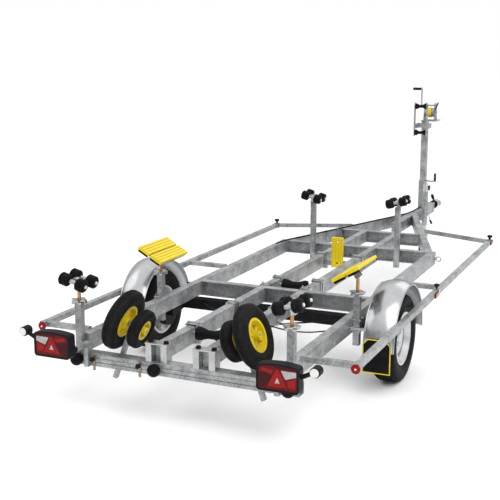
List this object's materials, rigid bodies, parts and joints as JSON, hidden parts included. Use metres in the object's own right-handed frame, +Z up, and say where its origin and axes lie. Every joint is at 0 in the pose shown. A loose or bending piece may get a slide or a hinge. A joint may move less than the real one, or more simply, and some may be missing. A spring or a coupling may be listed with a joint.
{
  "type": "boat trailer",
  "caption": "Single-axle galvanised boat trailer with roller heads, ribbed hull bunks, slip wheels, winch post with bow stop, side guards, rear lamps and a jockey wheel",
  "frame": {"origin": "middle of the footprint's box on the ground", "axes": "+Y forward to the coupling, +X right, +Z up"},
  "size_m": [2.174, 6.753, 1.7968],
  "materials": {
    "galvanised": "hot-dip galvanised, dull spangle",
    "zinc_plated": "bright zinc plate",
    "black_steel": "black painted",
    "bright_sheet": "smooth bright zinc sheet",
    "silver_rim": "silver paint",
    "tyre": "black rubber",
    "black_rubber": "matt black rubber",
    "black_plastic": "black",
    "red_lens": "red lens",
    "amber_lens": "amber lens",
    "clear_lens": "clear lens",
    "yellow_plastic": "yellow",
    "yellow_strap": "woven strap",
    "copper_screw": "bronzed screw thread"
  },
  "bodies": {
    "trailer_frame": {"side_rails": "galvanised", "centre_rails": "galvanised", "cross_members": "galvanised", "drawbar": "galvanised", "drawbar_arms": "galvanised", "coupling_head": "zinc_plated", "axle_beam": "black_steel", "fenders": "bright_sheet", "mud_flaps": "black_rubber", "side_guards": "galvanised", "outriggers": "galvanised", "lamp_housings": "black_plastic", "lamp_lenses": "red_lens", "stand_posts": "galvanised", "clamp_brackets": "zinc_plated", "slip_wheel_arms": "galvanised", "rubber_buffers": "black_rubber", "keel_stop_board": "yellow_plastic"},
    "wheel_left": {"wheel_tyre_left": "tyre", "wheel_rim_left": "silver_rim"},
    "wheel_right": {"wheel_tyre_right": "tyre", "wheel_rim_right": "silver_rim"},
    "slip_wheel_left_big": {"slip_tyre_left_big": "tyre", "slip_rim_left_big": "yellow_plastic"},
    "slip_wheel_left_small": {"slip_tyre_left_small": "tyre", "slip_rim_left_small": "yellow_plastic"},
    "slip_wheel_right_big": {"slip_tyre_right_big": "tyre", "slip_rim_right_big": "yellow_plastic"},
    "slip_wheel_right_small": {"slip_tyre_right_small": "tyre", "slip_rim_right_small": "yellow_plastic"},
    "spindle_rear_left": {"spindle_rear_left": "copper_screw"},
    "rocker_rear_left": {"rocker_rear_left": "zinc_plated"},
    "rollers_rear_left_aft": {"rollers_rear_left_aft": "black_rubber"},
    "rollers_rear_left_fore": {"rollers_rear_left_fore": "black_rubber"},
    "spindle_rear_right": {"spindle_rear_right": "copper_screw"},
    "rocker_rear_right": {"rocker_rear_right": "zinc_plated"},
    "rollers_rear_right_aft": {"rollers_rear_right_aft": "black_rubber"},
    "rollers_rear_right_fore": {"rollers_rear_right_fore": "black_rubber"},
    "rocker_front_left": {"rocker_front_left": "zinc_plated"},
    "rollers_front_left_aft": {"rollers_front_left_aft": "black_rubber"},
    "rollers_front_left_fore": {"rollers_front_left_fore": "black_rubber"},
    "rocker_front_right": {"rocker_front_right": "zinc_plated"},
    "rollers_front_right_aft": {"rollers_front_right_aft": "black_rubber"},
    "rollers_front_right_fore": {"rollers_front_right_fore": "black_rubber"},
    "spindle_bunk_left": {"spindle_bunk_left": "copper_screw"},
    "bunk_left": {"bunk_cradle_left": "zinc_plated", "bunk_boards_left": "yellow_plastic"},
    "spindle_bunk_right": {"spindle_bunk_right": "copper_screw"},
    "bunk_right": {"bunk_cradle_right": "zinc_plated", "bunk_boards_right": "yellow_plastic"},
    "keel_roller_aft": {"keel_roller_aft": "black_rubber"},
    "keel_roller_fore": {"keel_roller_fore": "black_rubber"},
    "winch_post": {"winch_post": "galvanised"},
    "winch_drum": {"winch_drum": "zinc_plated"},
    "winch_crank": {"winch_crank": "zinc_plated"},
    "bow_roller_lower": {"bow_roller_lower": "black_rubber"},
    "bow_roller_upper": {"bow_roller_upper": "black_rubber"},
    "jockey_tube": {"jockey_tube": "zinc_plated"},
    "jockey_fork": {"jockey_fork": "zinc_plated"},
    "jockey_wheel": {"jockey_wheel": "black_rubber"}
  },
  "joints": [
    {"name": "wheel_left_turn", "type": "hinge", "parent": "trailer_frame", "child": "wheel_left", "pos_m": [-0.925, -1.775, 0.298], "axis": [1, 0, 0], "continuous": true},
    {"name": "wheel_right_turn", "type": "hinge", "parent": "trailer_frame", "child": "wheel_right", "pos_m": [0.925, -1.775, 0.298], "axis": [1, 0, 0], "continuous": true},
    {"name": "slip_wheel_left_big_turn", "type": "hinge", "parent": "trailer_frame", "child": "slip_wheel_left_big", "pos_m": [-0.43702, -3.026, 0.58757], "axis": [0.9397, 0, -0.342], "continuous": true},
    {"name": "slip_wheel_left_small_turn", "type": "hinge", "parent": "trailer_frame", "child": "slip_wheel_left_small", "pos_m": [-0.31298, -3.026, 0.54243], "axis": [0.9397, 0, -0.342], "continuous": true},
    {"name": "slip_wheel_right_big_turn", "type": "hinge", "parent": "trailer_frame", "child": "slip_wheel_right_big", "pos_m": [0.43702, -3.026, 0.58757], "axis": [0.9397, 0, 0.342], "continuous": true},
    {"name": "slip_wheel_right_small_turn", "type": "hinge", "parent": "trailer_frame", "child": "slip_wheel_right_small", "pos_m": [0.31298, -3.026, 0.54243], "axis": [0.9397, 0, 0.342], "continuous": true},
    {"name": "spindle_rear_left_height", "type": "slide", "parent": "trailer_frame", "child": "spindle_rear_left", "axis": [0, 0, 1], "range_m": [-0.02, 0.1]},
    {"name": "rocker_rear_left_tilt", "type": "hinge", "parent": "spindle_rear_left", "child": "rocker_rear_left", "pos_m": [-0.705, -3.102, 0.825], "axis": [0.9703, 0, -0.2419], "range_deg": [-20, 20]},
    {"name": "rollers_rear_left_aft_turn", "type": "hinge", "parent": "rocker_rear_left", "child": "rollers_rear_left_aft", "pos_m": [-0.705, -3.16, 0.825], "axis": [0.9703, 0, -0.2419], "continuous": true},
    {"name": "rollers_rear_left_fore_turn", "type": "hinge", "parent": "rocker_rear_left", "child": "rollers_rear_left_fore", "pos_m": [-0.705, -3.044, 0.825], "axis": [0.9703, 0, -0.2419], "continuous": true},
    {"name": "spindle_rear_right_height", "type": "slide", "parent": "trailer_frame", "child": "spindle_rear_right", "axis": [0, 0, 1], "range_m": [-0.02, 0.1]},
    {"name": "rocker_rear_right_tilt", "type": "hinge", "parent": "spindle_rear_right", "child": "rocker_rear_right", "pos_m": [0.705, -3.102, 0.825], "axis": [0.9703, 0, 0.2419], "range_deg": [-20, 20]},
    {"name": "rollers_rear_right_aft_turn", "type": "hinge", "parent": "rocker_rear_right", "child": "rollers_rear_right_aft", "pos_m": [0.705, -3.16, 0.825], "axis": [0.9703, 0, 0.2419], "continuous": true},
    {"name": "rollers_rear_right_fore_turn", "type": "hinge", "parent": "rocker_rear_right", "child": "rollers_rear_right_fore", "pos_m": [0.705, -3.044, 0.825], "axis": [0.9703, 0, 0.2419], "continuous": true},
    {"name": "rocker_front_left_tilt", "type": "hinge", "parent": "trailer_frame", "child": "rocker_front_left", "pos_m": [-0.39, 0.1825, 0.915], "axis": [0.9703, 0, -0.2419], "range_deg": [-20, 20]},
    {"name": "rollers_front_left_aft_turn", "type": "hinge", "parent": "rocker_front_left", "child": "rollers_front_left_aft", "pos_m": [-0.39, 0.1245, 0.915], "axis": [0.9703, 0, -0.2419], "continuous": true},
    {"name": "rollers_front_left_fore_turn", "type": "hinge", "parent": "rocker_front_left", "child": "rollers_front_left_fore", "pos_m": [-0.39, 0.2405, 0.915], "axis": [0.9703, 0, -0.2419], "continuous": true},
    {"name": "rocker_front_right_tilt", "type": "hinge", "parent": "trailer_frame", "child": "rocker_front_right", "pos_m": [0.39, 0.1825, 0.915], "axis": [0.9703, 0, 0.2419], "range_deg": [-20, 20]},
    {"name": "rollers_front_right_aft_turn", "type": "hinge", "parent": "rocker_front_right", "child": "rollers_front_right_aft", "pos_m": [0.39, 0.1245, 0.915], "axis": [0.9703, 0, 0.2419], "continuous": true},
    {"name": "rollers_front_right_fore_turn", "type": "hinge", "parent": "rocker_front_right", "child": "rollers_front_right_fore", "pos_m": [0.39, 0.2405, 0.915], "axis": [0.9703, 0, 0.2419], "continuous": true},
    {"name": "spindle_bunk_left_height", "type": "slide", "parent": "trailer_frame", "child": "spindle_bunk_left", "axis": [0, 0, 1], "range_m": [-0.02, 0.1]},
    {"name": "bunk_left_tilt", "type": "hinge", "parent": "spindle_bunk_left", "child": "bunk_left", "pos_m": [-0.7385, -2.015, 0.765], "axis": [0, 1, 0], "range_deg": [-15, 15]},
    {"name": "spindle_bunk_right_height", "type": "slide", "parent": "trailer_frame", "child": "spindle_bunk_right", "axis": [0, 0, 1], "range_m": [-0.02, 0.1]},
    {"name": "bunk_right_tilt", "type": "hinge", "parent": "spindle_bunk_right", "child": "bunk_right", "pos_m": [0.7385, -2.015, 0.765], "axis": [0, 1, 0], "range_deg": [-15, 15]},
    {"name": "keel_roller_aft_turn", "type": "hinge", "parent": "trailer_frame", "child": "keel_roller_aft", "pos_m": [0, -2.695, 0.452], "axis": [1, 0, 0], "continuous": true},
    {"name": "keel_roller_fore_turn", "type": "hinge", "parent": "trailer_frame", "child": "keel_roller_fore", "pos_m": [0, -1.255, 0.452], "axis": [1, 0, 0], "continuous": true},
    {"name": "winch_post_height", "type": "slide", "parent": "trailer_frame", "child": "winch_post", "axis": [0, 0, 1], "range_m": [-0.03, 0.18]},
    {"name": "winch_drum_turn", "type": "hinge", "parent": "winch_post", "child": "winch_drum", "pos_m": [0.03, 2.7, 1.53], "axis": [1, 0, 0], "continuous": true},
    {"name": "winch_crank_turn", "type": "hinge", "parent": "winch_post", "child": "winch_crank", "pos_m": [0, 2.7, 1.6068], "axis": [1, 0, 0], "continuous": true},
    {"name": "bow_roller_lower_turn", "type": "hinge", "parent": "winch_post", "child": "bow_roller_lower", "pos_m": [0, 2.405, 1.33], "axis": [1, 0, 0], "continuous": true},
    {"name": "bow_roller_upper_turn", "type": "hinge", "parent": "winch_post", "child": "bow_roller_upper", "pos_m": [0, 2.405, 1.61], "axis": [1, 0, 0], "continuous": true},
    {"name": "jockey_height", "type": "slide", "parent": "trailer_frame", "child": "jockey_tube", "axis": [0, 0, 1], "range_m": [-0.1, 0.1]},
    {"name": "jockey_swivel", "type": "hinge", "parent": "jockey_tube", "child": "jockey_fork", "pos_m": [0.088, 2.375, 0.225], "axis": [0, 0, 1], "continuous": true},
    {"name": "jockey_wheel_turn", "type": "hinge", "parent": "jockey_fork", "child": "jockey_wheel", "pos_m": [0.088, 2.34, 0.1], "axis": [1, 0, 0], "continuous": true}
  ],
  "couplings": [
    {"joint": "winch_drum_turn", "follows": "winch_crank_turn", "ratio": -0.33333}
  ]
}
